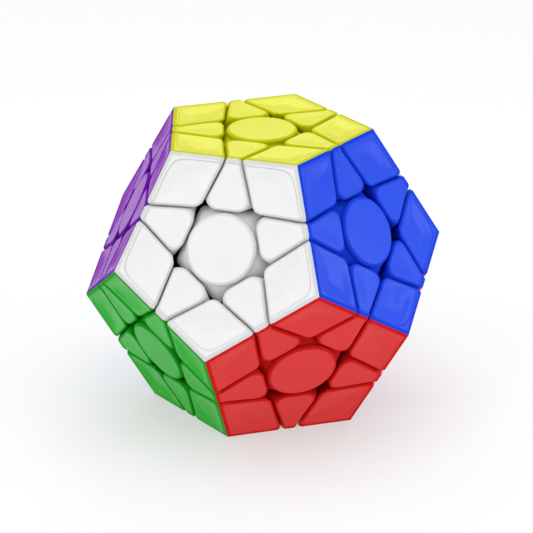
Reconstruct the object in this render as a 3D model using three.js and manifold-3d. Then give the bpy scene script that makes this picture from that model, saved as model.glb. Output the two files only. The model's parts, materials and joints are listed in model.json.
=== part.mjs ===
// A twisting puzzle in the shape of a dodecahedron, with a turning layer on each of its faces.
// Millimetres, +Z up. It stands on its cream face, and the origin is under its centre.
//
// Every surface along which two layers slide is a surface of revolution about a face's axis.
// Going inwards from the shell such a surface is a flat cut, then a narrow cone past the necks
// of the pieces, and then a wider cone round their feet, so that each piece is held under the
// one beside it: corners under edges, edges under centres, and centres by a screw and a spring.

import * as THREE from "three";
import { mergeVertices } from "three/addons/utils/BufferGeometryUtils.js";
import Module from "manifold-3d";

const wasm = await Module();
wasm.setup();

// Shell
const EDGE = 30; // edge of the dodecahedron
const CUT_INSET = 12.57; // along a face, from its edge to the cut that runs beside it
const CUT_GAP = 0.44; // between two pieces, along the axis of the layer that parts them
const CAP_RADIUS = 8;
const CAP_FILLET = 0.5;
const CAP_HEIGHT = 3.6; // from the face down to the skirt that runs out under the tiles

// Necks and feet, by their distance from the puzzle's centre
const FOOT_BOTTOM = 20;
const FOOT_TOP = 24;
const NECK_ANGLE = THREE.MathUtils.degToRad(41.8); // half angle of the cone past the necks
const FOOT_ANGLE = THREE.MathUtils.degToRad(46); // half angle of the cone round the feet
const FOOT_SHIFT_SHARE = 1.5; // of a layer's shift, by which the top of the feet moves

// Core, and what holds a centre to it
const BALL_RADIUS = 8.5;
const ARM_RADIUS = 3.2;
const ARM_END = 13.7;
const STEM_RADIUS = 4.6;
const STEM_BOTTOM = 14;
const STEM_FLOOR = 15.5; // the spring pushes the centre inwards on this floor
const STEM_TOP = 21;
const HOUSING_RADIUS = 3.4;
const HOUSING_TOP = 30;
const SHANK_RADIUS = 1.2;
const SHANK_BOTTOM = 5;
const SHANK_CLEARANCE = 0.35;
const HEAD_RADIUS = 2.4;
const HEAD_BOTTOM = 24;
const HEAD_HEIGHT = 2.2;
const SOCKET_RADIUS = 1.2;
const SOCKET_DEPTH = 1.3;
const SOCKET_SIDES = 6;
const SPRING_RADIUS = 2.35; // to the middle of the wire
const WIRE_RADIUS = 0.3;
const SPRING_TURNS = 4.5;

// Fineness of the round surfaces
const LAYER_SEGMENTS = 24;
const CAP_SEGMENTS = 30;
const BALL_SEGMENTS = 16;
const SMALL_SEGMENTS = 12;
const WIRE_SIDES = 5;
const STEPS_PER_TURN = 10;

// What follows from them
const INRADIUS = (EDGE / 2) * Math.sqrt((25 + 11 * Math.sqrt(5)) / 10);
const DIHEDRAL = Math.acos(-1 / Math.sqrt(5));
const CUT_HEIGHT = INRADIUS - CUT_INSET * Math.sin(DIHEDRAL); // of a flat cut above the centre
const NECK_TOP = CUT_HEIGHT / Math.cos(NECK_ANGLE);
const SKIRT_TOP = INRADIUS - CAP_HEIGHT;
const BORE_RADIUS = SHANK_RADIUS + SHANK_CLEARANCE;
const REACH = 2 * EDGE; // clear of the whole puzzle
const FAR = 3 * REACH; // clear of anything that reaches that far
const OVERLAP = 1; // of a hole past the solid it is cut from
const TILT = Math.atan(0.5); // of the side faces' axes above or below the horizon

// The faces, in the order in which pieces name their colours. A side face leans up or down.
const FACES = [
  { name: "yellow", colour: 0xeef04a, pole: 1 },
  { name: "white", colour: 0xf2f2f0, azimuth: -90, lean: 1 },
  { name: "blue", colour: 0x3350e8, azimuth: -18, lean: 1 },
  { name: "light_green", colour: 0x8fd93b, azimuth: 54, lean: 1 },
  { name: "orange", colour: 0xf58220, azimuth: 126, lean: 1 },
  { name: "purple", colour: 0x8d4fc0, azimuth: 198, lean: 1 },
  { name: "red", colour: 0xcf3030, azimuth: -54, lean: -1 },
  { name: "pink", colour: 0xf29ac0, azimuth: 18, lean: -1 },
  { name: "grey", colour: 0x8c9094, azimuth: 90, lean: -1 },
  { name: "light_blue", colour: 0x6cc3ea, azimuth: 162, lean: -1 },
  { name: "green", colour: 0x3fae49, azimuth: 234, lean: -1 },
  { name: "cream", colour: 0xf1e6b8, pole: -1 },
];
const TURNING = ["blue", "purple", "cream"]; // no two of these are neighbours
const CORE_COLOUR = 0x2b2d31;
const STEEL_COLOUR = 0xb9bcc0;
const PLASTIC_ROUGHNESS = 0.4;
const STEEL_ROUGHNESS = 0.3;

// ---------------------------------------------------------------- solids

function solidOf(geometry) {
  const bare = geometry.clone();
  bare.deleteAttribute("normal");
  bare.deleteAttribute("uv");
  const merged = mergeVertices(bare, 1e-4);
  return new wasm.Manifold(
    new wasm.Mesh({
      numProp: 3,
      vertProperties: merged.attributes.position.array,
      triVerts: new Uint32Array(merged.index.array),
    }),
  );
}

function geometryOf(solid) {
  const mesh = solid.getMesh();
  const geometry = new THREE.BufferGeometry();
  geometry.setAttribute("position", new THREE.BufferAttribute(mesh.vertProperties, 3));
  geometry.setIndex(new THREE.BufferAttribute(mesh.triVerts, 1));
  geometry.computeVertexNormals();
  return geometry;
}

// A solid turned about +Z, from [radius, height] points that start and end on the axis.
function turned(profile, segments) {
  const points = profile.map(([radius, height]) => new THREE.Vector2(radius, height));
  return solidOf(new THREE.LatheGeometry(points, segments).rotateX(Math.PI / 2));
}

function rod(radius, bottom, top, segments = SMALL_SEGMENTS) {
  return turned([[0, bottom], [radius, bottom], [radius, top], [0, top]], segments);
}

function polar(distance, angle) {
  return [distance * Math.sin(angle), distance * Math.cos(angle)];
}

// ---------------------------------------------------------------- layers

// The space of one layer, along +Z: its cut surface is moved along the axis by shift, and it
// reaches out to the radius reach and up to the height top. The top of the feet moves the other
// way, because the layer is below it, and further, because that surface leans.
function layer(shift, reach, top) {
  const footTop = FOOT_TOP - FOOT_SHIFT_SHARE * shift;
  const cut = [
    [0, 0],
    polar(footTop, FOOT_ANGLE),
    polar(footTop, NECK_ANGLE),
    polar(NECK_TOP, NECK_ANGLE),
    [reach, CUT_HEIGHT],
  ].map(([radius, height]) => [radius, height + shift]);
  return turned([...cut, [reach, top], [0, top]], LAYER_SEGMENTS);
}

const ownLayer = layer(CUT_GAP / 2, REACH, INRADIUS);
const skirtLayer = layer(CUT_GAP / 2, REACH, SKIRT_TOP);
const otherLayer = layer(-CUT_GAP / 2, FAR, FAR);
const aboveFeet = rod(REACH, FOOT_BOTTOM, REACH);

// The rotation that takes +Z to axis and +X as near as it can to side.
function rotationTo(axis, side) {
  const z = axis.clone().normalize();
  const x = side.clone().addScaledVector(z, -side.dot(z)).normalize();
  const y = z.clone().cross(x);
  return new THREE.Matrix4().makeBasis(x, y, z);
}

function along(solid, axis) {
  const upright = Math.abs(axis.z) > Math.hypot(axis.x, axis.y);
  const side = upright ? new THREE.Vector3(1, 0, 0) : new THREE.Vector3(0, 0, 1);
  return solid.transform(rotationTo(axis, side).toArray());
}

// What lies in all the layers of the first list and in none of the second.
function shared(inside, outside) {
  let solid = along(ownLayer, inside[0]);
  for (const axis of inside.slice(1)) {
    solid = solid.intersect(along(ownLayer, axis));
  }
  for (const axis of outside) {
    solid = solid.subtract(along(otherLayer, axis));
  }
  return solid.intersect(aboveFeet);
}

function direction(polarAngle, azimuth) {
  return new THREE.Vector3(0, 0, 1)
    .applyAxisAngle(new THREE.Vector3(0, 1, 0), polarAngle)
    .applyAxisAngle(new THREE.Vector3(0, 0, 1), azimuth);
}

// ---------------------------------------------------------------- pieces, each along +Z

const FACE_TO_FACE = Math.PI - DIHEDRAL; // between the axes of two neighbouring faces
const FACE_TO_EDGE = FACE_TO_FACE / 2;
const FACE_TO_CORNER = Math.asin((2 / Math.sqrt(3)) * Math.sin(FACE_TO_EDGE));

// A corner has the tips of three tiles, a neck and a three-sided foot. A face lies towards +X.
function cornerSolid() {
  const axes = [0, 1, 2].map((k) => direction(FACE_TO_CORNER, (k * 2 * Math.PI) / 3));
  return shared(axes, []);
}

// An edge has two tiles, a neck and a foot. Its faces lie towards +X and -X.
function edgeSolid() {
  const own = [0, 1].map((k) => direction(FACE_TO_EDGE, k * Math.PI));
  const ends = [1, 3].map((k) => direction(Math.PI / 2 - FACE_TO_EDGE, (k * Math.PI) / 2));
  return shared(own, ends);
}

// A centre has a round cap, a five-sided skirt and a stem. A neighbouring face lies towards +X.
function centreSolid() {
  let skirt = skirtLayer;
  for (let k = 0; k < 5; k += 1) {
    const neighbour = direction(FACE_TO_FACE, (k * 2 * Math.PI) / 5);
    skirt = skirt.subtract(along(otherLayer, neighbour));
  }
  const cap = turned(
    [
      [0, SKIRT_TOP - CAP_FILLET],
      [CAP_RADIUS, SKIRT_TOP - CAP_FILLET],
      [CAP_RADIUS, INRADIUS - CAP_FILLET],
      [CAP_RADIUS - CAP_FILLET, INRADIUS],
      [0, INRADIUS],
    ],
    CAP_SEGMENTS,
  );
  const stem = rod(STEM_RADIUS, STEM_BOTTOM, STEM_TOP);
  return skirt.intersect(aboveFeet).add(cap).add(stem);
}

// The spring and the screw's head are inside a turning centre, and the shank goes out below.
function housedCentreSolid() {
  const housing = rod(HOUSING_RADIUS, STEM_FLOOR, HOUSING_TOP);
  const bore = rod(BORE_RADIUS, STEM_BOTTOM - OVERLAP, STEM_FLOOR + OVERLAP);
  return centreSolid().subtract(housing).subtract(bore);
}

function screwSolid() {
  const top = HEAD_BOTTOM + HEAD_HEIGHT;
  const body = turned(
    [
      [0, SHANK_BOTTOM],
      [SHANK_RADIUS, SHANK_BOTTOM],
      [SHANK_RADIUS, HEAD_BOTTOM],
      [HEAD_RADIUS, HEAD_BOTTOM],
      [HEAD_RADIUS, top],
      [0, top],
    ],
    SMALL_SEGMENTS,
  );
  return body.subtract(rod(SOCKET_RADIUS, top - SOCKET_DEPTH, top + OVERLAP, SOCKET_SIDES));
}

class Coil extends THREE.Curve {
  constructor(radius, bottom, top, turns) {
    super();
    Object.assign(this, { radius, bottom, top, turns });
  }

  getPoint(share, target = new THREE.Vector3()) {
    const angle = share * this.turns * 2 * Math.PI;
    const height = this.bottom + share * (this.top - this.bottom);
    return target.set(this.radius * Math.cos(angle), this.radius * Math.sin(angle), height);
  }
}

// The spring is held between the floor of the stem and the underside of the screw's head.
function springSolid() {
  const clear = WIRE_RADIUS + SHANK_CLEARANCE;
  const path = new Coil(SPRING_RADIUS, STEM_FLOOR + clear, HEAD_BOTTOM - clear, SPRING_TURNS);
  const corners = Array.from({ length: WIRE_SIDES }, (_, k) => {
    const angle = (k * 2 * Math.PI) / WIRE_SIDES;
    return new THREE.Vector2(WIRE_RADIUS * Math.cos(angle), WIRE_RADIUS * Math.sin(angle));
  });
  const wire = new THREE.ExtrudeGeometry(new THREE.Shape(corners), {
    steps: SPRING_TURNS * STEPS_PER_TURN,
    extrudePath: path,
  });
  return solidOf(wire);
}

// The core is a ball with an arm to each face. A centre that isn't turned here is joined to its
// arm by its screw, so it is one solid with the core.
function coreSolid(faces) {
  let core = solidOf(new THREE.SphereGeometry(BALL_RADIUS, BALL_SEGMENTS, BALL_SEGMENTS / 2));
  const centre = centreSolid();
  for (const face of faces) {
    const fixed = !TURNING.includes(face.name);
    const arm = rod(ARM_RADIUS, 0, fixed ? STEM_FLOOR : ARM_END);
    core = core.add(placed(arm, face, faces));
    if (fixed) {
      core = core.add(placed(centre, face, faces));
    }
  }
  const bore = rod(BORE_RADIUS, SHANK_BOTTOM - SHANK_CLEARANCE, ARM_END + OVERLAP);
  for (const face of faces.filter((f) => TURNING.includes(f.name))) {
    core = core.subtract(placed(bore, face, faces));
  }
  return core;
}

// ---------------------------------------------------------------- faces, edges and corners

function axisOf(face) {
  if (face.pole) {
    return new THREE.Vector3(0, 0, face.pole);
  }
  const azimuth = THREE.MathUtils.degToRad(face.azimuth);
  const level = new THREE.Vector3(Math.cos(azimuth), Math.sin(azimuth), 0);
  return level.multiplyScalar(Math.cos(TILT)).setZ(face.lean * Math.sin(TILT));
}

// Of the other faces, the five that touch a face are the only ones that lean its way.
function neighbours(a, b) {
  return a !== b && a.axis.dot(b.axis) > 0;
}

// Every set of the given number of faces that all touch each other.
function meetings(faces, count, start = 0, chosen = []) {
  if (chosen.length === count) {
    return [chosen];
  }
  const found = [];
  for (let k = start; k < faces.length; k += 1) {
    if (chosen.every((face) => neighbours(face, faces[k]))) {
      found.push(...meetings(faces, count, k + 1, [...chosen, faces[k]]));
    }
  }
  return found;
}

function centreRotation(face, faces) {
  return rotationTo(face.axis, faces.find((other) => neighbours(face, other)).axis);
}

function placed(solid, face, faces) {
  return solid.transform(centreRotation(face, faces).toArray());
}

function sharedRotation(meeting) {
  const middle = new THREE.Vector3();
  meeting.forEach((face) => middle.add(face.axis));
  return rotationTo(middle, meeting[0].axis);
}

function meshOf(name, geometry, colour, rotation, metal = false) {
  const material = new THREE.MeshStandardMaterial({
    color: colour,
    roughness: metal ? STEEL_ROUGHNESS : PLASTIC_ROUGHNESS,
    metalness: metal ? 1 : 0,
  });
  const mesh = new THREE.Mesh(geometry, material);
  mesh.name = name;
  mesh.quaternion.setFromRotationMatrix(rotation);
  return mesh;
}

function nameOf(kind, meeting) {
  return [kind, ...meeting.map((face) => face.name)].join("_");
}

// ---------------------------------------------------------------- assembly

const faces = FACES.map((face) => ({ ...face, axis: axisOf(face) }));
const puzzle = new THREE.Group();
puzzle.position.set(0, 0, INRADIUS);

puzzle.add(meshOf("core", geometryOf(coreSolid(faces)), CORE_COLOUR, new THREE.Matrix4()));

const housedCentre = geometryOf(housedCentreSolid());
const screw = geometryOf(screwSolid());
const spring = geometryOf(springSolid());
for (const face of faces.filter((f) => TURNING.includes(f.name))) {
  const rotation = centreRotation(face, faces);
  puzzle.add(meshOf(nameOf("centre", [face]), housedCentre, face.colour, rotation));
  puzzle.add(meshOf(nameOf("screw", [face]), screw, STEEL_COLOUR, rotation, true));
  puzzle.add(meshOf(nameOf("spring", [face]), spring, STEEL_COLOUR, rotation, true));
}

const edge = geometryOf(edgeSolid());
for (const pair of meetings(faces, 2)) {
  puzzle.add(meshOf(nameOf("edge", pair), edge, pair[0].colour, sharedRotation(pair)));
}

const corner = geometryOf(cornerSolid());
for (const triple of meetings(faces, 3)) {
  puzzle.add(meshOf(nameOf("corner", triple), corner, triple[0].colour, sharedRotation(triple)));
}

export default puzzle;
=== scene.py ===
"""A twelve-sided twisting puzzle in satin plastic, one colour to a face, standing on its cream face.

Every piece is made along +Z as one closed mesh and then turned to its place. Rings of points run
round it: over its tiles, down the cuts between the pieces, round its neck and round its foot. The
cuts are surfaces of revolution about the faces' axes, as in the CAD model, so layers can turn. Near
the puzzle's surface they bow a little, where the CAD model's are flat.
"""

import itertools
import json
import math

import bpy
import numpy as np
from mathutils import Matrix, Vector


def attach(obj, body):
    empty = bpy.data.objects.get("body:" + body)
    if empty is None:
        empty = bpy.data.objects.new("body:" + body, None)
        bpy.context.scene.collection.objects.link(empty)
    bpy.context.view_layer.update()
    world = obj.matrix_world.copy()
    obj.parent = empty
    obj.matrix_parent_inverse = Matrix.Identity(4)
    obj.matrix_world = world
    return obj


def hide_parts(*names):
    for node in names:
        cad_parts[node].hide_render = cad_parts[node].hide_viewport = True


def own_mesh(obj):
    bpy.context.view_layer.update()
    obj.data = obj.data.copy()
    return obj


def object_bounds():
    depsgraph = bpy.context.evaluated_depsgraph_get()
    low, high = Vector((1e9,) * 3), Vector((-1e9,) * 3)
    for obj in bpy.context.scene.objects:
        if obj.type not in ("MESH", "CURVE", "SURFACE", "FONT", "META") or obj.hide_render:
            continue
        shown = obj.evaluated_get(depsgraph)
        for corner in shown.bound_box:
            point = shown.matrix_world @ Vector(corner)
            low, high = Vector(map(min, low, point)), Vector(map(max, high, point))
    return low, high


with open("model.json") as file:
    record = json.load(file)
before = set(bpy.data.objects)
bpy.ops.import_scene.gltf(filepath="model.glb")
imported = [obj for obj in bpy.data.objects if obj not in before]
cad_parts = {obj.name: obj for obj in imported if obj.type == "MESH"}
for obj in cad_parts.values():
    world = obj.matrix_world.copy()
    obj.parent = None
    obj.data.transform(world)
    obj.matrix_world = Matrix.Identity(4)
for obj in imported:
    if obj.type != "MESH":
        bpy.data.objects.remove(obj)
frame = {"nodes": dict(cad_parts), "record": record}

# ------------------------------------------------------------------ sizes, in millimetres and radians

MM = 0.001
cad_low, cad_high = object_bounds()
INRADIUS = (cad_high.z - cad_low.z) / 2 / MM
EDGE = INRADIUS / (0.5 * math.sqrt((25 + 11 * math.sqrt(5)) / 10))
CUT_INSET = 0.419 * EDGE  # on a face, from a side in to the cut along it
SIDE_TURN = math.radians(72)  # from one side of a face to the next, about the face's axis
FACE_TO_FACE = math.atan(2)  # between the axes of two neighbouring faces
FACE_TO_EDGE = FACE_TO_FACE / 2
FACE_TO_CORNER = math.asin(2 / math.sqrt(3) * math.sin(FACE_TO_EDGE))
CUT_HEIGHT = INRADIUS - CUT_INSET * math.sin(FACE_TO_FACE)

CUT_CLEARANCE = 0.21  # from a flat cut to the piece beside it
NECK_CLEARANCE = 0.2
NECK_ANGLE = math.radians(41.8)
FOOT_ANGLE = math.radians(46)
NECK_TOP = CUT_HEIGHT / math.cos(NECK_ANGLE)
FOOT_TOP = 24
FOOT_BOTTOM = 20
RING_GAP = 0.4  # from the neck's top, and from the foot's bottom, to the next ring
NECK_RINGS = (28, 26)  # radii of the rings round the middle of the neck
FOOT_RING = 22
CREASE_OUTER, CREASE_INNER, CREASE_HALF = 0.5, 0.2, 0.15  # from the foot's top to rings by it
NECK_RADIUS = NECK_TOP * math.sin(NECK_ANGLE)

# The cones that a piece's walls keep to, where it is in the cut's layer (1) and where it isn't (-1).
NECK = {1: NECK_ANGLE, -1: NECK_ANGLE}
CREASE = {1: NECK_ANGLE, -1: FOOT_ANGLE}
FOOT = {1: FOOT_ANGLE, -1: FOOT_ANGLE}

# Beyond the neck a cut isn't quite flat: it rises outwards, and near the surface it falls again.
BOW = 0.107  # how fast it falls
BOW_START = 26.3  # distance from the cut's axis from which it falls
BOW_LEVEL = 28.3  # distance at which it crosses the flat cut
BORDER = 1.3  # along a tile's outer sides, where the bow fades
BORDER_FADE = 0.4  # share of it that is gone at the side itself
BOW_REACH = 3.3  # along a face, how far from a cut its bow moves a tile
WALL_REACH, WALL_FADE = 1.0, 1.5  # across a cut, how far its full bow reaches, and then fades
FACE_INRADIUS = INRADIUS / math.tan(math.pi / 2 - FACE_TO_EDGE)
CUT_OFFSET = FACE_INRADIUS - CUT_INSET  # of a cut, along a face, from its middle
CUT_START = math.sqrt(INRADIUS**2 + CUT_OFFSET**2 - CUT_HEIGHT**2)  # least radius of a cut on a face
PETAL_REACH = 0.12  # how far the inner end of a petal stands out of the bowed cut

EDGE_ROUND = 0.55  # rounding of every tile's rim
MITRE_SHARE = 1.8  # how many times as wide it is where two faces meet
MITRE_DEPTH = 0.09  # how deep it is there
MITRE_SHEAR = math.tan(FACE_TO_EDGE) / math.sin(SIDE_TURN)
MITRE_REACH = EDGE_ROUND * math.tan(FACE_TO_EDGE)  # how far in from a face's edge its rim goes
RIM_REACH = 0.45  # how far from a cut a tile's rim is deeper than where two faces meet
CAP_RADIUS = 8.2
CAP_ROUND = 0.7
CAP_WALL = 1.2  # from the cap's top down to the skirt
CAP_SUNK = 0.3  # how far the cap goes into the skirt
CAP_SHOULDER = 1.4  # in from the cap's wall, the first ring of its underside
SEAT_INSET = 1.2  # in from the cap's wall, the edge of the seat under it
SEAT_DEPTH = 0.4
SKIRT_DROP = 4.0  # from the cap's top down to the skirt's tips
SKIRT_REACH = 1.19  # how far its tips go out, against the middles of its sides
SKIRT_TUCK = 0.02  # how far its top lies inside the cap's wall
SKIRT_CURVE = 0.2  # how much steeper than a cone it gets towards its brim
SKIRT_THICKNESS = 0.15  # at the brim
DARK_FROM = 0.65  # share of a cut's depth below which pieces are of the dark inner plastic

SIDE_POINTS = 17  # along each straight side of a tile
ARC_POINTS = 8  # round each corner of a tile
WALL_RINGS = 9  # down the cuts
SMOOTHING = 3  # rounds of smoothing of the edges between the walls of an edge or corner piece
CENTRE_SMOOTHING = 4
CLOSING_SHARES = (0.94, 0.6, 0.3, 0)  # sizes of the rings that close a piece below
MIDDLE_SHARES = (0.88, 0.74, 0.6, 0.45, 0.3, 0.15, 0)  # and of those that close a tile


# ------------------------------------------------------------------ vectors and rings

def unit(v):
    return np.asarray(v, float) / np.linalg.norm(v)


def direction(polar, azimuth):
    level = math.sin(polar)
    return np.array([level * math.cos(azimuth), level * math.sin(azimuth), math.cos(polar)])


def smoothstep(x):
    x = np.clip(x, 0, 1)
    return x * x * (3 - 2 * x)


def ramp(x, start, width):
    """Goes smoothly from 0 at start to 1 a width further."""
    return smoothstep((x - start) / width)


def ridge(x, middle, width):
    """A smooth ridge of height 1 at middle, which ends a width to either side."""
    return smoothstep(1 - np.abs(x - middle) / width)


def smooth_least(a, b, softness):
    return -softness * np.log(np.exp(-a / softness) + np.exp(-b / softness))


def arc(start, end, centre, count):
    """Points of a circle round centre, from start up to but without end."""
    a, b = start - centre, end - centre
    angle = math.acos(np.clip(unit(a) @ unit(b), -1, 1))
    share = (np.arange(count) / count)[:, None]
    return centre + (np.sin((1 - share) * angle) * a + np.sin(share * angle) * b) / math.sin(angle)


def smoothed(ring, rounds):
    for _ in range(rounds):
        ring = 0.5 * ring + 0.25 * (np.roll(ring, 1, 0) + np.roll(ring, -1, 0))
    return ring


def on_sphere(a, height_a, b, height_b, radius):
    """The point of a sphere at the given heights along a and b, on the side of +Z."""
    shared = a @ b
    along_a = (height_a - height_b * shared) / (1 - shared**2)
    along_b = (height_b - height_a * shared) / (1 - shared**2)
    base = along_a * a + along_b * b
    across = unit(np.cross(a, b))
    return base + across * math.sqrt(max(radius**2 - base @ base, 0)) * np.sign(across[2])


class Wall:
    """A cut that bounds a piece: sense is 1 where the piece is in that layer, -1 where it isn't."""

    def __init__(self, axis, sense, count):
        self.axis, self.sense, self.count = axis, sense, count


def section(walls, radius, angles, clearance):
    """The ring in which a piece meets a sphere. angles gives the cuts' cone for each sense."""
    heights = [radius * math.cos(angles[w.sense]) + w.sense * clearance for w in walls]
    corners = [
        on_sphere(walls[k - 1].axis, heights[k - 1], walls[k].axis, heights[k], radius)
        for k in range(len(walls))
    ]
    return np.concatenate([
        arc(corners[k], corners[(k + 1) % len(walls)], heights[k] * wall.axis, wall.count)
        for k, wall in enumerate(walls)
    ])


def bow(radius):
    """How far a cut lies above the flat cut, along its axis, at a distance from that axis."""
    rise = BOW * (BOW_LEVEL - BOW_START) * (radius - NECK_RADIUS) / (BOW_START - NECK_RADIUS)
    fall = BOW * (BOW_LEVEL - radius)
    return np.maximum(np.minimum(rise, fall), np.minimum(fall, 0))


def wall_bow(points, walls):
    """How the bow of the cuts moves points of a piece's walls."""
    moved = np.zeros_like(points)
    for wall in walls:
        height = points @ wall.axis
        radius = np.sqrt(np.sum(points**2, axis=1) - height**2)
        near = 1 - ramp(np.abs(height - CUT_HEIGHT), WALL_REACH, WALL_FADE)
        moved += (bow(radius) * near)[:, None] * wall.axis
    return moved


def on_radius(ring, radius):
    return ring * (radius / np.linalg.norm(ring, axis=1))[:, None]


def neck_and_foot(walls, rounds):
    """The rings from the bottom of the shell's cuts down to the bottom of the foot."""
    plan = [(radius, NECK) for radius in (NECK_TOP, NECK_TOP - RING_GAP, *NECK_RINGS)]
    plan += [(FOOT_TOP + CREASE_OUTER, NECK), (FOOT_TOP + CREASE_INNER, NECK)]
    plan += [(FOOT_TOP + CREASE_HALF, CREASE), (FOOT_TOP - CREASE_HALF, CREASE)]
    plan += [(FOOT_TOP - CREASE_INNER, FOOT), (FOOT_TOP - CREASE_OUTER, FOOT)]
    plan += [(FOOT_RING, FOOT), (FOOT_BOTTOM + RING_GAP, FOOT)]
    rings = []
    for radius, angles in plan:
        ring = section(walls, radius, angles, NECK_CLEARANCE)
        rings.append(on_radius(smoothed(ring, rounds), radius))
    return rings


def closed_below(ring, radius):
    """Rings that round a piece's end off and close it in the middle."""
    middle = unit(ring.mean(0)) * radius
    return [on_radius(middle + (ring - middle) * share, radius) for share in CLOSING_SHARES]


# ------------------------------------------------------------------ tiles

class Side:
    """One straight side of a tile: it lies in the plane where axis has that height, with the tile on
    its upper side. Insets grow by near per unit in the rim's rounding, and by far beyond it."""

    def __init__(self, axis, height, depth=EDGE_ROUND, near=1.0, far=1.0):
        length = np.linalg.norm(axis)
        self.axis, self.height, self.depth = axis / length, height / length, depth
        self.near, self.far = near, far

    def inset(self, amount):
        return self.near * min(amount, EDGE_ROUND) + self.far * max(amount - EDGE_ROUND, 0)


def mitre(axis, other, far=1.0):
    """The side where a face meets the next, whose rim is shallower than the others."""
    return Side(axis - other, 0, MITRE_DEPTH, MITRE_SHARE, far)


class Tile:
    """A flat tile on the face along normal, with another face along beside. corners[k], where side
    k - 1 meets side k, is a list of (inset, radius) pairs."""

    def __init__(self, normal, beside, sides, corners):
        self.normal, self.beside, self.sides, self.corners = normal, beside, sides, corners
        self.up = unit(np.cross(normal, [0, 1, 0] if abs(normal[1]) < 0.9 else [1, 0, 0]))
        self.across = np.cross(self.up, normal)

    def line(self, side, depth):
        """Where a side's plane crosses the plane at that depth under the face."""
        flat = np.array([side.axis @ self.across, side.axis @ self.up])
        length = np.linalg.norm(flat)
        height = side.height - side.axis @ self.normal * (INRADIUS - depth)
        return flat / length, height / length

    def distance(self, points, k):
        """From points of the face to side k, as that side is on the face's own plane."""
        flat, height = self.line(self.sides[k], 0)
        return points @ flat - height

    def outline(self, amount):
        """The tile's outline at the bottom of its rim, moved inwards, and its sides' directions and
        heights there."""
        count = len(self.sides)
        lines = [self.line(side, side.depth) for side in self.sides]
        heights = [line[1] + side.inset(amount) for line, side in zip(lines, self.sides)]
        vertices = [
            np.linalg.solve([lines[k - 1][0], lines[k][0]], [heights[k - 1], heights[k]])
            for k in range(count)
        ]
        arcs = []
        for k, here in enumerate(vertices):
            back, on = unit(vertices[k - 1] - here), unit(vertices[(k + 1) % count] - here)
            half = math.acos(np.clip(back @ on, -1, 1)) / 2
            radius = np.interp(amount, *zip(*self.corners[k]))
            reach = radius / math.tan(half)
            middle = here + unit(back + on) * radius / math.sin(half)
            arcs.append((here + back * reach, here + on * reach, middle, radius))
        points = []
        share = (np.arange(SIDE_POINTS) / SIDE_POINTS)[:, None]
        for k in range(count):
            start, end, middle, radius = arcs[(k + 1) % count]
            points.append(arcs[k][1] + share * (start - arcs[k][1]))
            if radius > 0:
                points.append(arc(start, end, middle, ARC_POINTS))
            else:
                points.append(np.repeat([start], ARC_POINTS, 0))
        flats = [flat for flat, height in lines]
        return np.concatenate(points), flats, heights

    def ring(self, amount, fall):
        """One ring round the tile, and its heights. fall goes from 1 at the bottom of the rim to 0 at
        its top. The rim is deeper at the cuts than where two faces meet, so where those sides meet,
        points slide along the cut to stay in the plane between the faces."""
        points, flats, heights = self.outline(amount)
        fade = max(1 - amount / EDGE_ROUND, 0)
        cut = [k for k, side in enumerate(self.sides) if side.depth == EDGE_ROUND]
        nearness = {k: 1 - ramp(points @ flats[k], heights[k], RIM_REACH) for k in cut}
        moved = points.copy()
        for k in cut:
            for j in ((k - 1) % len(flats), (k + 1) % len(flats)):
                if j in cut:
                    continue
                along = np.array([-flats[k][1], flats[k][0]])
                along = along * np.sign(along @ flats[j])
                near_mitre = 1 - ramp(points @ flats[j], heights[j], 1)
                slide = (EDGE_ROUND - MITRE_DEPTH) * MITRE_SHEAR * fade
                moved += along * (slide * nearness[k] * near_mitre)[:, None]
        depth = MITRE_DEPTH + (EDGE_ROUND - MITRE_DEPTH) * np.max(list(nearness.values()), axis=0)
        return moved, -depth * fall

    def bowed(self, points):
        """Points of the face, moved with the cuts' bow but kept in the planes between the faces."""
        toward = unit([self.beside @ self.across, self.beside @ self.up])
        cos, sin = math.cos(SIDE_TURN), math.sin(SIDE_TURN)
        spin = np.array([[cos, -sin], [sin, cos]])
        outward = [toward]
        for _ in range(4):
            outward.append(spin @ outward[-1])
        moved = np.zeros_like(points)
        for out in outward:
            radius = np.hypot(points @ [-out[1], out[0]], CUT_START)
            near = 1 - smoothstep(np.abs(points @ out - CUT_OFFSET) / BOW_REACH)
            moved += (bow(radius) * near / math.sin(FACE_TO_FACE))[:, None] * out
        for out in outward:
            gap = np.maximum(FACE_INRADIUS - MITRE_REACH - points @ out, 0)
            moved -= ((1 - smoothstep(gap / (2 * BORDER))) * (moved @ out))[:, None] * out
            moved *= (1 - BORDER_FADE * (1 - smoothstep(gap / BORDER)))[:, None]
        return points + moved

    def lifted(self, points, heights):
        """Points of the face as points of space, at heights above the face."""
        points = self.bowed(points)
        level = (INRADIUS + heights * np.ones(len(points)))[:, None]
        return points[:, :1] * self.across + points[:, 1:] * self.up + level * self.normal


RIM_FADE = (1, 1, 1, 1, 1, 0.85, 0.3)  # how much painted shade of the darker rim colour lies on each ring, from a tile's wall up its rounding


def rim_insets():
    """Insets and shares of the depth round a quarter circle, from the wall up to the top."""
    for angle in np.radians(np.linspace(0, 90, len(RIM_FADE))):
        yield EDGE_ROUND * (1 - math.cos(angle)), 1 - math.sin(angle)


def tile_rims(rings):
    """How far each ring of a tile is on its rim, from 0 to 1, which sets how much painted shade it
    takes.
    """
    return np.array(RIM_FADE + (0,) * (len(rings) - len(RIM_FADE)))


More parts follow.
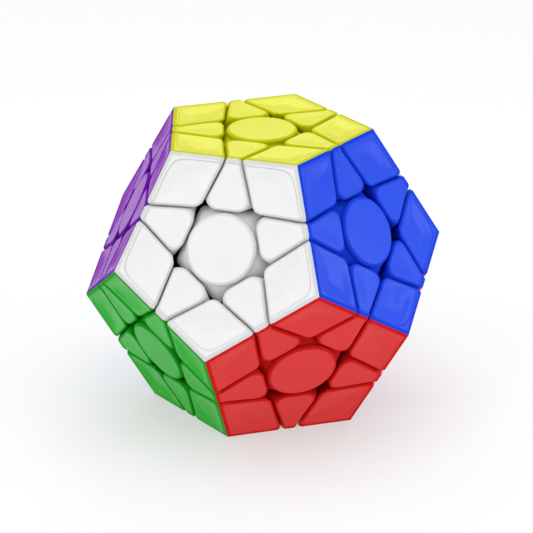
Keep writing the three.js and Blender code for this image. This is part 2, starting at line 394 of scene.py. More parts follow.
def tile_rings(tile, insets, relief):
    """Rings from the tile's rim to its middle, and how far each point is in the painted shade line
    along the step. relief gives the height at points of the face, and that share."""
    rings = []
    for amount, fall in list(rim_insets()) + [(amount, 0) for amount in insets]:
        rings.append(tile.ring(amount, fall))
    last = rings[-1][0]
    middle = last.mean(0)
    for share in MIDDLE_SHARES:
        rings.append((middle + (last - middle) * share, 0))
    lifted, step_shades = [], []
    for points, heights in rings:
        height, step_shade = relief(tile, points)
        lifted.append(tile.lifted(points, heights + height))
        step_shades.append(step_shade)
    return lifted, np.array(step_shades)


# Insets of a tile's rings inside its rim, closest at its step, and (inset, radius) pairs of its tips.
CORNER_INSETS = (0.62, 0.68, 0.73, 0.77, 0.81, 0.85, 0.89, 0.93, 0.97, 1.01, 1.05, 1.1, 1.16, 1.24,
                 1.4, 1.7, 2.1, 2.6, 3.3, 4.2)
CORNER_TIPS = {
    "vertex": [(0, 0), (EDGE_ROUND, 0.3), (1.3, 3.4), (1.9, 4.0), (4.4, 2.4)],
    "side": [(0, 0), (EDGE_ROUND, 0.6), (2, 1.4), (4.4, 1.1)],
    "inner": [(0, 2.4), (1.1, 1.5), (4.4, 0.9)],
}


# The relief of the tiles. Pairs are the start and the width of a ramp, by distance from the sides,
# or the middle and the half width of the line of painted shade along a step.
CORNER_BLEND = 1.1  # softness of the tips of the step and the dish
CORNER_STEP, CORNER_STEP_DEPTH = (1.2, 0.32), 0.17
# The line along the step is painted shade: a darker colour laid on the tile.
CORNER_STEP_SHADE = (1.4, 0.26)
CORNER_DISH_OUTER, CORNER_DISH_INNER, CORNER_DISH_DEPTH = (1.5, 3.0), (0.5, 3.2), 0.5
CORNER_RISE, CORNER_RISE_SHARE = (4.2, 7.5), 0.9
PETAL_BLEND, FLANK_BLEND = 0.8, 0.4
PETAL_STEP, PETAL_STEP_DEPTH = (1.0, 0.4), 0.13
# The line along the step is painted shade: a darker colour laid on the tile.
PETAL_STEP_SHADE = (1.2, 0.34)
PETAL_DISH, PETAL_DISH_DEPTH = (0.8, 2.5), 0.08
PETAL_DISH_START = 1.5  # how much further from the outer end than from the other sides it starts


def corner_relief(tile, points):
    """A level border beside the two outer sides, then a step down into a dish that is deepest
    near the outer sides and comes up again towards the inner tip. It also gives how far each point is
    in the painted shade line along the step."""
    outer = smooth_least(tile.distance(points, 0), tile.distance(points, 3), CORNER_BLEND)
    inner = smooth_least(tile.distance(points, 1), tile.distance(points, 2), CORNER_BLEND)
    step = CORNER_STEP_DEPTH * ramp(outer, *CORNER_STEP)
    dish = CORNER_DISH_DEPTH * ramp(outer, *CORNER_DISH_OUTER) * ramp(inner, *CORNER_DISH_INNER)
    rise = 1 - CORNER_RISE_SHARE * ramp(outer, *CORNER_RISE)
    return -step - dish * rise, ridge(outer, *CORNER_STEP_SHADE)


PETAL_INSETS = (0.6, 0.64, 0.68, 0.72, 0.76, 0.8, 0.86, 0.94, 1.06, 1.22)
PETAL_TIPS = {
    "outer": [(0, 0), (EDGE_ROUND, 0.5), (1.3, 0.6)],
    "inner": [(0, 2.55), (1.3, 1.65)],
}


def petal_relief(tile, points):
    """A level border across the outer end, one soft step down, and a faint dish, with how far each
    point is in the painted shade line along the step.
    """
    outer = tile.distance(points, 3)
    flank = smooth_least(tile.distance(points, 0), tile.distance(points, 2), FLANK_BLEND)
    others = smooth_least(flank, tile.distance(points, 1), PETAL_BLEND)
    inside = smooth_least(others, outer - PETAL_DISH_START, PETAL_BLEND)
    step = PETAL_STEP_DEPTH * ramp(outer, *PETAL_STEP)
    dish = PETAL_DISH_DEPTH * ramp(inside, *PETAL_DISH)
    return -step - dish, ridge(outer, *PETAL_STEP_SHADE)


# ------------------------------------------------------------------ pieces, each along +Z

UPWARDS = [np.array([0, 0, 1.0])]
EDGE_AXES = [direction(FACE_TO_EDGE, math.pi * k) for k in range(2)]
CORNER_AXES = [direction(FACE_TO_CORNER, math.radians(120 * k)) for k in range(3)]


class Mesh:
    """A closed mesh of a piece with tiles along axes. Each face has an owner, the number of its
    material: first come the axes' colours on level tops, then the same colours on rims, and last the
    dark inner plastic. Each vertex has two shares of painted shade: of the darker rim colour on rims
    and walls, and of the darker line along a tile's step."""

    def __init__(self, axes):
        self.axes, self.count = axes, 0
        self.vertices, self.faces, self.owners, self.rims, self.step_shades = [], [], [], [], []

    def bridge(self, rings, rims, owner=None, step_shades=0.0, dark=False):
        """Joins each ring to the next. Rings go round counter-clockwise as seen from outside, and
        run inwards. rims says how far each ring is on a rim or a wall, which take painted shade, and
        the step shares say how far each point is in the painted shade line along a tile's step, from
        0 to 1.
        owner is the number of the axis whose colour the faces take, and without it each takes that of
        the nearest axis."""
        rings = np.array(rings)
        depth, size = rings.shape[:2]
        if dark:
            owner = 2 * len(self.axes)
        self.vertices.append(rings.reshape(-1, 3))
        self.rims.append(np.repeat(rims * np.ones(depth), size))
        self.step_shades.append((step_shades * np.ones((depth, size))).reshape(-1))
        row, column = np.meshgrid(np.arange(depth - 1), np.arange(size), indexing="ij")
        after = (column + 1) % size
        quads = np.stack([row * size + column, row * size + after,
                          (row + 1) * size + after, (row + 1) * size + column], -1).reshape(-1, 4)
        middles = rings.reshape(-1, 3)[quads].mean(1)
        if owner is None:
            owners = np.argmax(middles @ np.array(self.axes).T, axis=1)
        else:
            owners = np.full(len(quads), owner)
        if not dark:
            owners += len(self.axes) * (self.rims[-1][quads].mean(1) > 0.5)
        self.faces.append(quads + self.count)
        self.owners.append(owners)
        self.count += depth * size

    def welded(self):
        """Vertices, faces, owners and the vertices' shares of painted shade, on rims and along steps,
        with equal points made one and collapsed faces left out."""
        vertices = np.concatenate(self.vertices)
        keys = np.round(vertices, 4) + 0.0
        _, first, inverse = np.unique(keys, axis=0, return_index=True, return_inverse=True)
        faces = inverse.reshape(-1)[np.concatenate(self.faces)]
        kept, owners = [], []
        for quad, owner in zip(faces.tolist(), np.concatenate(self.owners).tolist()):
            face = [v for k, v in enumerate(quad) if v != quad[k - 1]]
            if len(set(face)) == len(face) and len(face) > 2:
                kept.append(face)
                owners.append(owner)
        shades = np.stack([np.concatenate(self.rims), np.concatenate(self.step_shades)])
        return vertices[first], kept, owners, shades[:, first]


def corner_piece():
    axes = CORNER_AXES
    mesh = Mesh(axes)
    cut = CUT_HEIGHT + CUT_CLEARANCE
    per_side = SIDE_POINTS + ARC_POINTS
    loop = []
    for k, axis in enumerate(axes):
        before, after = axes[k - 1], axes[(k + 1) % 3]
        sides = [
            mitre(axis, before),
            Side(after, cut),
            Side(before, cut),
            mitre(axis, after),
        ]
        tips = [CORNER_TIPS[name] for name in ("vertex", "side", "inner", "side")]
        rings, step_shades = tile_rings(Tile(axis, before, sides, tips), CORNER_INSETS, corner_relief)
        mesh.bridge(rings, tile_rims(rings), k, step_shades)
        loop.append(rings[0][per_side:3 * per_side - ARC_POINTS])
    loop = np.roll(np.concatenate(loop), -(SIDE_POINTS + ARC_POINTS // 2), 0)
    along = 2 * SIDE_POINTS + ARC_POINTS
    walls = [Wall(axes[k], 1, along) for k in (2, 0, 1)]
    add_below(mesh, loop, walls)
    return mesh.welded()


PETAL_SPREAD = 1.9  # how much faster a petal's rings move in from its outer end than elsewhere


def edge_piece():
    axes = EDGE_AXES
    ends = [direction(math.pi / 2 - FACE_TO_EDGE, math.pi * (k + 0.5)) for k in range(2)]
    mesh = Mesh(axes)
    own, other = CUT_HEIGHT + CUT_CLEARANCE, CUT_CLEARANCE - CUT_HEIGHT
    loop = []
    for k, axis in enumerate(axes):
        opposite = axes[1 - k]
        sides = [
            Side(-ends[1 - k], other),
            Side(opposite, own - PETAL_REACH),
            Side(-ends[k], other),
            mitre(axis, opposite, far=PETAL_SPREAD),
        ]
        tips = [PETAL_TIPS[name] for name in ("outer", "inner", "inner", "outer")]
        rings, step_shades = tile_rings(Tile(axis, opposite, sides, tips), PETAL_INSETS, petal_relief)
        mesh.bridge(rings, tile_rims(rings), k, step_shades)
        loop.append(rings[0][:3 * SIDE_POINTS + 2 * ARC_POINTS])
    loop = np.roll(np.concatenate(loop), -(2 * SIDE_POINTS + ARC_POINTS + ARC_POINTS // 2), 0)
    flank, end = 2 * SIDE_POINTS + ARC_POINTS, SIDE_POINTS + ARC_POINTS
    walls = [Wall(ends[0], -1, flank), Wall(axes[0], 1, end),
             Wall(ends[1], -1, flank), Wall(axes[1], 1, end)]
    add_below(mesh, loop, walls)
    return mesh.welded()


def add_below(mesh, loop, walls):
    """Adds the cuts, from the loop round the tiles down to the neck, and all that is below."""
    below = neck_and_foot(walls, SMOOTHING)
    flat = smoothed(section(walls, NECK_TOP, NECK, CUT_CLEARANCE), SMOOTHING)
    rings = []
    for share in np.linspace(0, 1, WALL_RINGS):
        straight = loop + (flat - loop) * share
        rings.append(straight + wall_bow(straight, walls) - (1 - share) * wall_bow(loop, walls))
    edge = round(DARK_FROM * (len(rings) - 1))
    below = rings[edge:] + below + closed_below(below[-1], FOOT_BOTTOM)
    # The cuts' upper walls take the darker rim colour all over: painted shade.
    mesh.bridge(rings[edge::-1], 1)
    mesh.bridge(below[::-1], 1, dark=True)


def circle(radius, height, count, turn=0.0):
    angles = np.arange(count) / count * 2 * math.pi + turn
    flat = [radius * np.cos(angles), radius * np.sin(angles)]
    return np.stack([*flat, np.full(count, float(height))], 1)


CENTRE_POINTS = 30  # along each of the five sides of a centre's skirt
SKIRT_RINGS = 9
BRIM_SOFTNESS = 0.3  # of the tips' rounding
FLANK_STEPS = (0.3, 0.6, 1)  # shares of the way from the brim down to the neck
CLOSING_SHARE = 0.97  # size of the ring inside the foot's bottom edge
FOOT_BEVEL = 0.1  # of that edge
# Profiles of round inner parts, as (radius, height) pairs.
STEM = [(4.6, 20.0), (4.6, 14.3), (4.3, 14.0)]
HOUSING = [(1.55, 14.0), (1.55, 15.5), (3.4, 15.5), (3.4, 29.5), (0.0, 29.5)]
PLUG = [(3.2, 14.0), (3.2, 5.0), (0.0, 5.0)]
ARM = [(0, 6.0), (1.3, 6.0), (1.3, 13.5), (1.5, 13.7), (3.0, 13.7), (3.2, 13.5), (3.2, 6.5),
       (3.2, 5.0), (0, 5.0)]
ARM_POINTS = 40
CORE_RADIUS = 8.5


def centre_base(stem):
    """The skirt under a cap, the neck and foot below it, and the stem."""
    walls = [Wall(direction(FACE_TO_FACE, SIDE_TURN * k), -1, CENTRE_POINTS) for k in range(5)]
    total = 5 * CENTRE_POINTS
    turn = -SIDE_TURN / 2
    mesh = Mesh(UPWARDS)
    height = INRADIUS - SKIRT_DROP
    inradius = CUT_HEIGHT - CUT_CLEARANCE - height * math.cos(FACE_TO_FACE)
    inradius /= math.sin(FACE_TO_FACE)
    corners = circle(inradius / math.cos(SIDE_TURN / 2), height, 5, turn)
    share = (np.arange(CENTRE_POINTS) / CENTRE_POINTS)[:, None]
    brim = np.concatenate([
        corners[k] + share * (corners[(k + 1) % 5] - corners[k]) for k in range(5)
    ])
    reach = np.linalg.norm(brim[:, :2], axis=1)
    brim[:, :2] *= (smooth_least(reach, SKIRT_REACH * inradius, BRIM_SOFTNESS) / reach)[:, None]
    brim = smoothed(brim, CENTRE_SMOOTHING)
    seat = circle(CAP_RADIUS - SEAT_INSET, INRADIUS - CAP_WALL - SEAT_DEPTH, total, turn)
    top = circle(CAP_RADIUS - SKIRT_TUCK, INRADIUS - CAP_WALL, total, turn)
    rings = [seat * [0, 0, 1], seat, top]
    for step in np.linspace(0, 1, SKIRT_RINGS)[1:]:
        ring = top + (brim - top) * step
        fall = (1 - SKIRT_CURVE) * step + SKIRT_CURVE * step**3
        ring[:, 2] = top[:, 2] + (brim[:, 2] - top[:, 2]) * fall
        rings.append(ring)
    edge = len(rings)
    rings.append(brim - [0, 0, SKIRT_THICKNESS])
    flat = smoothed(section(walls, NECK_TOP, NECK, CUT_CLEARANCE), CENTRE_SMOOTHING)
    rings += [rings[-1] + (flat - rings[-1]) * step for step in FLANK_STEPS]
    rings += neck_and_foot(walls, CENTRE_SMOOTHING)
    rings.append(on_radius(rings[-1] * [CLOSING_SHARE, CLOSING_SHARE, 1], FOOT_BOTTOM + FOOT_BEVEL))
    rings += [circle(radius, level, total, turn) for radius, level in STEM + stem]
    # The seat and skirt take the darker rim colour all over: painted shade.
    mesh.bridge(rings[edge::-1], 1)
    mesh.bridge(rings[:edge - 1:-1], 1, dark=True)
    return mesh.welded()


CAP_POINTS = 120
CAP_RINGS = (0, 2, 4, 5.5, 6.6)  # radii of the rings on its level top
CAP_ROUND_RINGS = 9
CAP_RIM_START, CAP_RIM_FADE = 0.1, 0.25  # how far before its rounding the painted shade of the rim colour sets in, and over how far it grows


def cap_piece():
    """A flat round cap with a rounded rim, closed below."""
    mesh = Mesh(UPWARDS)
    flat = CAP_RADIUS - CAP_ROUND
    bottom = -CAP_WALL - CAP_SUNK
    profile = [(radius, 0) for radius in (*CAP_RINGS, flat - CAP_RIM_FADE)]
    for angle in np.radians(np.linspace(0, 90, CAP_ROUND_RINGS)):
        profile.append((flat + CAP_ROUND * math.sin(angle), CAP_ROUND * (math.cos(angle) - 1)))
    profile += [(CAP_RADIUS, -CAP_WALL), (CAP_RADIUS, bottom)]
    profile += [(CAP_RADIUS - CAP_SHOULDER, bottom), (0, bottom)]
    rings = [circle(radius, INRADIUS + level, CAP_POINTS) for radius, level in profile]
    # The darker rim colour on the cap's rounding and wall is painted shade.
    rims = [ramp(radius, flat - CAP_RIM_START, CAP_RIM_FADE) for radius, level in profile]
    mesh.bridge(rings[::-1], np.array(rims[::-1]))
    return mesh.welded()


def ball(radius, rows=32, columns=48):
    mesh = Mesh(UPWARDS)
    rings = [circle(radius * math.sin(a), radius * math.cos(a), columns)
             for a in np.linspace(0, math.pi, rows)]
    mesh.bridge(rings[::-1], 1)
    return mesh.welded()


def arm_piece():
    """An arm of the core, with the hole for a screw."""
    mesh = Mesh(UPWARDS)
    rings = [circle(radius, level, ARM_POINTS) for radius, level in ARM]
    mesh.bridge(rings[::-1], 1)
    return mesh.welded()


SPRING_RADIUS = 2.35  # to the middle of the wire
WIRE_RADIUS = 0.3
SPRING_FOOT, SPRING_HEAD = 15.9, 23.6  # heights of the wire's middle at the spring's two ends
SPRING_TURNS = 4.5
END_TURNS = 0.75  # of each end, where the wire lies level
COIL_POINTS, WIRE_POINTS = 48, 16  # along each turn, and round the wire
WIRE_END = (0, 0.6, 0.95)  # sizes of the rings that close an end of the wire


def spring_piece():
    """A coil spring of round wire, wound closed at both ends."""
    mesh = Mesh(UPWARDS)
    angles = np.linspace(0, 2 * math.pi * SPRING_TURNS, round(COIL_POINTS * SPRING_TURNS))
    turns = angles / (2 * math.pi)
    eased = ramp(turns, END_TURNS / 2, SPRING_TURNS - END_TURNS)
    steady = np.clip((turns - END_TURNS) / (SPRING_TURNS - 2 * END_TURNS), 0, 1)
    heights = SPRING_FOOT + (SPRING_HEAD - SPRING_FOOT) * (eased + steady) / 2
    path = np.stack([SPRING_RADIUS * np.cos(angles), SPRING_RADIUS * np.sin(angles), heights], 1)
    round_wire = np.linspace(0, 2 * math.pi, WIRE_POINTS, endpoint=False)[:, None]
    rings = []
    for k, point in enumerate(path):
        along = unit(path[min(k + 1, len(path) - 1)] - path[max(k - 1, 0)])
        out = unit(point * [1, 1, 0])
        lift = np.cross(along, out)
        rings.append(point + WIRE_RADIUS * (np.cos(round_wire) * out + np.sin(round_wire) * lift))
    start = [path[0] + (rings[0] - path[0]) * share for share in WIRE_END]
    end = [path[-1] + (rings[-1] - path[-1]) * share for share in WIRE_END]
    mesh.bridge(start + rings + end[::-1], 0)
    return mesh.welded()


# ------------------------------------------------------------------ faces

# Each face's axis: the top, a ring of five below it, a ring of five between those, and the bottom.
UPPER, UPPER_START = ("white", "blue", "light_green", "orange", "purple"), math.radians(-90)
LOWER, LOWER_START = ("red", "pink", "grey", "light_blue", "green"), math.radians(-54)
FACES = {"yellow": direction(0, 0)}
for k, name in enumerate(UPPER):
    FACES[name] = direction(FACE_TO_FACE, UPPER_START + SIDE_TURN * k)
for k, name in enumerate(LOWER):
    FACES[name] = direction(math.pi - FACE_TO_FACE, LOWER_START + SIDE_TURN * k)
FACES["cream"] = direction(math.pi, 0)
TURNING = ("blue", "purple", "cream")


def touching(a, b):
    return a != b and FACES[a] @ FACES[b] > 0


def meetings(count):
    """Every set of that many faces that all touch each other."""
    for names in itertools.combinations(FACES, count):
        if all(touching(a, b) for a, b in itertools.combinations(names, 2)):
            yield names


def rotation_to(axis, side):
    """The matrix that takes +Z to axis and +X as near as it can to side."""
    z = unit(axis)
    x = unit(side - z * (side @ z))
    return np.stack([x, np.cross(z, x), z], 1)


def face_rotation(name):
    side = next(FACES[other] for other in FACES if touching(name, other))
    return rotation_to(FACES[name], side)


# ------------------------------------------------------------------ materials

# For each plastic, its colour on level tops; a darker copy painted on rims, walls and skirts as
# painted shade; and a darker copy painted along the step of a tile as a line of painted shade.
COLOURS = {
    "yellow": ((0.735, 0.735, 0.06), (0.52, 0.55, 0.003), (0.66, 0.66, 0.03)),
    "white": ((0.865, 0.865, 0.865), (0.70, 0.70, 0.70), (0.64, 0.64, 0.64)),
    "blue": ((0.03, 0.09, 0.83), (0.010, 0.055, 0.71), (0.018, 0.065, 0.76)),
    "light_green": ((0.30, 0.72, 0.06), (0.2, 0.62, 0.005), (0.27, 0.68, 0.05)),
    "orange": ((0.92, 0.26, 0.03), (0.85, 0.18, 0.002), (0.88, 0.24, 0.025)),
    "purple": ((0.245, 0.02, 0.46), (0.14, 0.004, 0.34), (0.2, 0.012, 0.4)),
    "red": ((0.77, 0.045, 0.045), (0.62, 0.010, 0.010), (0.74, 0.04, 0.04)),
    "pink": ((0.85, 0.28, 0.45), (0.80, 0.18, 0.35), (0.82, 0.26, 0.42)),
    "grey": ((0.26, 0.27, 0.28), (0.18, 0.19, 0.20), (0.22, 0.23, 0.24)),
    "light_blue": ((0.13, 0.52, 0.83), (0.05, 0.42, 0.76), (0.11, 0.49, 0.8)),
    "green": ((0.008, 0.43, 0.014), (0.008, 0.32, 0.012), (0.007, 0.40, 0.011)),
    "cream": ((0.86, 0.78, 0.46), (0.78, 0.68, 0.32), (0.74, 0.66, 0.38)),
    "core_plastic": ((0.03, 0.032, 0.036),) * 3,
}
STEEL_COLOUR = (0.62, 0.62, 0.64)
CLOUD_TOP, CLOUD_RIM = 0.98, 0.97  # how bright the darkest clouds are, on tops and on rims
SATIN, BRUSHED = (0.22, 0.27), (0.22, 0.38)  # lowest and highest roughness, of plastic and of steel
RIM_ROUGHER = 0.3  # how much rougher a rim is than a level top
TOP_GLOSS = 0.09  # specular level, which is low because the faces show only faint reflections
RIM_GLOSS = 0.03  # lower still, so that the rims keep a deep, clean colour
GRAZED_GLOSS = {"purple": 0.03}  # of tops that would look pale at a slant
CLOUD_SCALE, GLOSS_SCALE, GRAIN_SCALE = 190, 420, 2600  # of the noise, in cycles per metre
NOISE_ROUGHNESS = 0.55
NOISE_LOW, NOISE_HIGH = 0.3, 0.7  # between which the noise mostly stays
GRAIN_DEPTH, GRAIN_STRENGTH = 0.02, 0.5  # of the bump


def noise(tree, coordinates, scale, detail):
    made = tree.nodes.new("ShaderNodeTexNoise")
    made.inputs["Scale"].default_value = scale
    made.inputs["Detail"].default_value = detail
    made.inputs["Roughness"].default_value = NOISE_ROUGHNESS
    tree.links.new(coordinates, made.inputs["Vector"])
    return made.outputs["Fac"]


def mapped(tree, value, low, high):
    """The noise value, spread out to run from low to high."""
    made = tree.nodes.new("ShaderNodeMapRange")
    made.inputs["From Min"].default_value = NOISE_LOW
    made.inputs["From Max"].default_value = NOISE_HIGH
    made.inputs["To Min"].default_value = low
    made.inputs["To Max"].default_value = high
    tree.links.new(value, made.inputs["Value"])
    return made.outputs["Result"]


def blended(tree, share, first, second):
    """A colour between two, each a colour or the output of another node."""
    made = tree.nodes.new("ShaderNodeMix")
    made.data_type = "RGBA"
    tree.links.new(share, made.inputs["Factor"])
    for name, colour in (("A", first), ("B", second)):
        target = next(i for i in made.inputs if i.name == name and i.type == "RGBA")
        if isinstance(colour, tuple):
            target.default_value = (*colour, 1)
        else:
            tree.links.new(colour, target)
    return next(o for o in made.outputs if o.type == "RGBA")


def shaded(colour, amount):
    return tuple(value * amount for value in colour)


def share_of(tree, label):
    """The share, from 0 to 1, that the mesh holds for each vertex under that label."""
    made = tree.nodes.new("ShaderNodeAttribute")
    made.attribute_name = label
    return made.outputs["Fac"]


def surface(
    name, top, rim_shade, step_shade, roughness, metallic=0.0, grain=GRAIN_DEPTH, gloss_level=TOP_GLOSS
):
    """A material with cloudy colour, uneven gloss and a fine moulded grain, and painted shade: the
    darker rim colour by the mesh's rim share, and the darker step line by its step share.
    """
    material = bpy.data.materials.new(name)
    material.use_nodes = True
    tree = material.node_tree
    shader = tree.nodes["Principled BSDF"]
    shader.inputs["Metallic"].default_value = metallic
    shader.inputs["Specular IOR Level"].default_value = gloss_level
    coordinates = tree.nodes.new("ShaderNodeTexCoord").outputs["Object"]
    clouds = mapped(tree, noise(tree, coordinates, CLOUD_SCALE, detail=4), 0, 1)
    on_top = blended(tree, clouds, shaded(top, CLOUD_TOP), top)
    clouded_rim_shade = blended(tree, clouds, shaded(rim_shade, CLOUD_RIM), rim_shade)
    # Painted shade: the rim colour darkens rims, walls and skirts, and the step colour darkens a line
    # along each tile's step.
    colour = blended(tree, share_of(tree, "rim_shade"), on_top, clouded_rim_shade)
    colour = blended(tree, share_of(tree, "step_shade"), colour, step_shade)
    tree.links.new(colour, shader.inputs["Base Color"])
    rougher = tree.nodes.new("ShaderNodeMath")
    rougher.operation = "MULTIPLY_ADD"
    rougher.inputs[1].default_value = RIM_ROUGHER
    tree.links.new(share_of(tree, "rim_shade"), rougher.inputs[0])
    gloss = mapped(tree, noise(tree, coordinates, GLOSS_SCALE, detail=5), *roughness)
    tree.links.new(gloss, rougher.inputs[2])
    tree.links.new(rougher.outputs["Value"], shader.inputs["Roughness"])
    bump = tree.nodes.new("ShaderNodeBump")
    bump.inputs["Strength"].default_value = GRAIN_STRENGTH
    bump.inputs["Distance"].default_value = grain * MM
    tree.links.new(noise(tree, coordinates, GRAIN_SCALE, detail=3), bump.inputs["Height"])
    tree.links.new(bump.outputs["Normal"], shader.inputs["Normal"])
    return material


MATERIALS = {
    name: surface(name + "_top", *COLOURS[name], SATIN, gloss_level=GRAZED_GLOSS.get(name, TOP_GLOSS))
    for name in COLOURS
}
# Copies with lower gloss for faces mostly on rims; like the others they carry the painted rim shade.
RIM_MATERIALS = {
    name: surface(name + "_rim", *COLOURS[name], SATIN, gloss_level=RIM_GLOSS) for name in FACES
}
STEEL = surface("steel_wire", *[STEEL_COLOUR] * 3, BRUSHED, metallic=1.0)


# ------------------------------------------------------------------ objects

SHARP_ANGLE = math.radians(34)


def made_object(name, parts, materials):
    """One object from (welded mesh, rotation) pairs, in metres, with the puzzle's centre in place."""
    vertices, faces, owners, shades = [], [], [], []
    start = 0
    for (points, mesh_faces, mesh_owners, mesh_shades), rotation in parts:
        shades.append(mesh_shades)
        moved = points @ rotation.T + [0, 0, INRADIUS]
        vertices.append(moved * MM)
        faces += [[v + start for v in face] for face in mesh_faces]
        owners += mesh_owners
        start += len(points)
    data = bpy.data.meshes.new(name)
    data.from_pydata(np.concatenate(vertices).tolist(), [], faces)
    for material in materials:
        data.materials.append(material)
    data.polygons.foreach_set("material_index", owners)
    data.polygons.foreach_set("use_smooth", [True] * len(faces))
    # Shares of painted shade that the materials read: on rims and walls, and along tiles' steps.
    for label, values in zip(("rim_shade", "step_shade"), np.concatenate(shades, axis=1)):
        attribute = data.attributes.new(label, "FLOAT", "POINT")
        attribute.data.foreach_set("value", values.astype(np.float32))
    data.set_sharp_from_angle(angle=SHARP_ANGLE)
    data.update()
    made = bpy.data.objects.new(name, data)
    bpy.context.scene.collection.objects.link(made)
    return made


body_of = {
    member: body
    for body, members in frame["record"]["behaviour"]["bodies"].items()
    for member in members
}


def added(name, parts, colours, stands_for=None, body=None):
    """An object in those colours, which rides on body, or else where the CAD node that it stands for
    does."""
    tops = [MATERIALS[colour] for colour in colours]
    rims = [RIM_MATERIALS[colour] for colour in colours]
    piece = made_object(name, parts, tops + rims + [MATERIALS["core_plastic"]])
    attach(piece, body or body_of[stands_for])
    if stands_for:
        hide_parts(stands_for)
    return piece


def reordered(rotation, axes, names):
    """The faces' names in the order of the piece's own axes."""
    return [max(names, key=lambda name: FACES[name] @ (rotation @ axis)) for axis in axes]


pieces = (("edge", edge_piece(), EDGE_AXES), ("corner", corner_piece(), CORNER_AXES))
for kind, mesh, axes in pieces:
    for names in meetings(len(axes)):
        rotation = rotation_to(sum(FACES[name] for name in names), FACES[names[0]])
        node_name = "_".join([kind, *names])
        colours = reordered(rotation, axes, names)
        added("shell_" + node_name, [(mesh, rotation)], colours, node_name)

cap = cap_piece()
housed, plugged = centre_base(HOUSING), centre_base(PLUG)
for name in FACES:
    rotation = face_rotation(name)
    if name in TURNING:
        centre = "centre_" + name
        added("shell_" + centre, [(housed, rotation)], [name], centre)
        added("cap_" + name, [(cap, rotation)], [name], body=body_of[centre])
    else:
        added("cap_" + name, [(cap, rotation)], [name], body="core")

# The core's ball and arms, and the nine centres that don't turn, are one object. Its materials are
# the inner plastic, then the centres' colours on tops, then the same on rims.
fixed = [name for name in FACES if name not in TURNING]
core_parts = []
for vertices, faces, owners, shades in [ball(CORE_RADIUS)] + [arm_piece()] * len(TURNING):
    core_parts.append((vertices, faces, [0] * len(faces), shades))
rotations = [np.eye(3)] + [face_rotation(name) for name in TURNING]
for k, name in enumerate(fixed):
    vertices, faces, owners, shades = plugged
    numbers = [1 + k, 1 + k + len(fixed), 0]
    core_parts.append((vertices, faces, [numbers[owner] for owner in owners], shades))
    rotations.append(face_rotation(name))
core_materials = [MATERIALS["core_plastic"]] + [MATERIALS[name] for name in fixed]
core_materials += [RIM_MATERIALS[name] for name in fixed]
core_piece = made_object("core_with_centres", list(zip(core_parts, rotations)), core_materials)
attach(core_piece, "core")
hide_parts("core")

spring = spring_piece()
for name in TURNING:
    screw = frame["nodes"]["screw_" + name].data
    screw.materials.clear()
    screw.materials.append(STEEL)
    coil = made_object("coil_" + name, [(spring, face_rotation(name))], [STEEL])
    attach(coil, body_of["spring_" + name])
    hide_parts("spring_" + name)
    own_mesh(coil)


# ------------------------------------------------------------------ floor, light and camera

FLOOR_REACH = 3.0
FLOOR_SHADE = 0.24
FLOOR_GLOW = 0.50  # light of its own, which keeps the shadow and the faces' tints on it faint
FLOOR_ROUGHNESS = (0.6, 0.65)
WORLD_LIGHT = 0.34


def floor():
    data = bpy.data.meshes.new("floor")
    corners = [(-1, -1, 0), (1, -1, 0), (1, 1, 0), (-1, 1, 0)]
    data.from_pydata([Vector(corner) * FLOOR_REACH for corner in corners], [], [(0, 1, 2, 3)])
    paper = surface("floor_paper", *[(FLOOR_SHADE,) * 3] * 3, FLOOR_ROUGHNESS, grain=0.0)
    shader = paper.node_tree.nodes["Principled BSDF"]
    shader.inputs["Emission Color"].default_value = (1, 1, 1, 1)
    shader.inputs["Emission Strength"].default_value = FLOOR_GLOW
    data.materials.append(paper)
    made = bpy.data.objects.new("floor", data)
    bpy.context.scene.collection.objects.link(made)
    return made


def softbox(name, location, target, size, power):
    """A square light that faces the target, in metres and watts."""
    data = bpy.data.lights.new(name, "AREA")
    data.shape = "SQUARE"
    data.size = size
    data.energy = power
    made = bpy.data.objects.new(name, data)
    made.location = location
    made.rotation_euler = (Vector(target) - Vector(location)).to_track_quat("-Z", "Y").to_euler()
    bpy.context.scene.collection.objects.link(made)
    return made


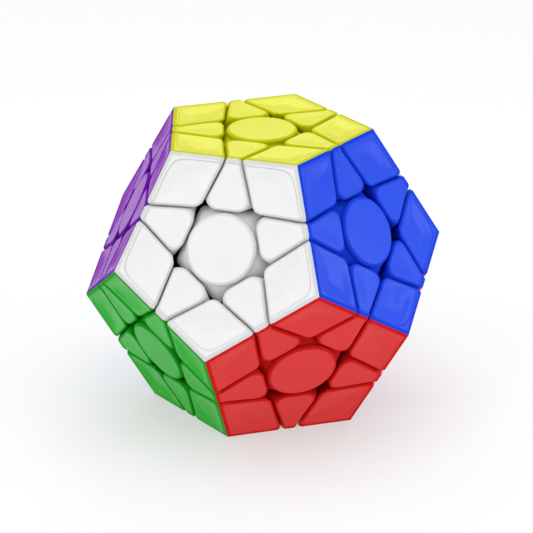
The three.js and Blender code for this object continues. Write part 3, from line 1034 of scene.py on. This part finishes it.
floor_sheet = floor()
middle = Vector((0, 0, INRADIUS * MM))
softbox("light_above", (-0.1, 0.15, 1.15), middle, 1.4, 9.0)
softbox("light_left", (-0.75, -0.95, 0.75), middle, 1.1, 7.5)
softbox("light_right", (1.1, -0.45, 0.55), middle, 0.9, 4.0)

# Two small ones close by put soft highlights on single tiles, and one lights only the floor.
softbox("light_near_right", (0.214, 0.058, 0.075), (0.028, -0.009, 0.048), 0.07, 0.07)
softbox("light_near_back", (-0.055, 0.16, 0.19), (0, 0, 0.067), 0.1, 0.07)
floor_light = softbox("light_floor", (0, 0.05, 0.8), middle, 2.0, 19.0)
lit = bpy.data.collections.new("lit_by_floor_light")
lit.objects.link(floor_sheet)
floor_light.light_linking.receiver_collection = lit

world = bpy.data.worlds.new("studio")
world.use_nodes = True
world.node_tree.nodes["Background"].inputs["Color"].default_value = (1, 1, 1, 1)
world.node_tree.nodes["Background"].inputs["Strength"].default_value = WORLD_LIGHT
bpy.context.scene.world = world
bpy.context.scene.view_settings.view_transform = "Standard"

CAMERA_AZIMUTH = math.radians(18)
CAMERA_ELEVATION = math.radians(22.2176)
CAMERA_DISTANCE = 25.4155 * EDGE * MM
CAMERA_ASIDE = 0.0344 * EDGE * MM  # to the right of the line to the puzzle's middle
CAMERA_DOWN = 0.0257 * EDGE * MM  # and below it
CAMERA_LENS = 220.84  # focal length in millimetres, for the sensor's width
SENSOR_WIDTH = 36

back = Vector((
    math.sin(CAMERA_AZIMUTH) * math.cos(CAMERA_ELEVATION),
    -math.cos(CAMERA_AZIMUTH) * math.cos(CAMERA_ELEVATION),
    math.sin(CAMERA_ELEVATION),
))
right = Vector((math.cos(CAMERA_AZIMUTH), math.sin(CAMERA_AZIMUTH), 0))
up = back.cross(right)
lens = bpy.data.cameras.new("camera")
lens.lens = CAMERA_LENS
lens.sensor_width = SENSOR_WIDTH
lens.clip_start = 0.01
camera = bpy.data.objects.new("camera", lens)
camera.matrix_world = Matrix((right, up, back)).transposed().to_4x4()
camera.location = middle + back * CAMERA_DISTANCE + right * CAMERA_ASIDE - up * CAMERA_DOWN
bpy.context.scene.collection.objects.link(camera)
bpy.context.scene.camera = camera
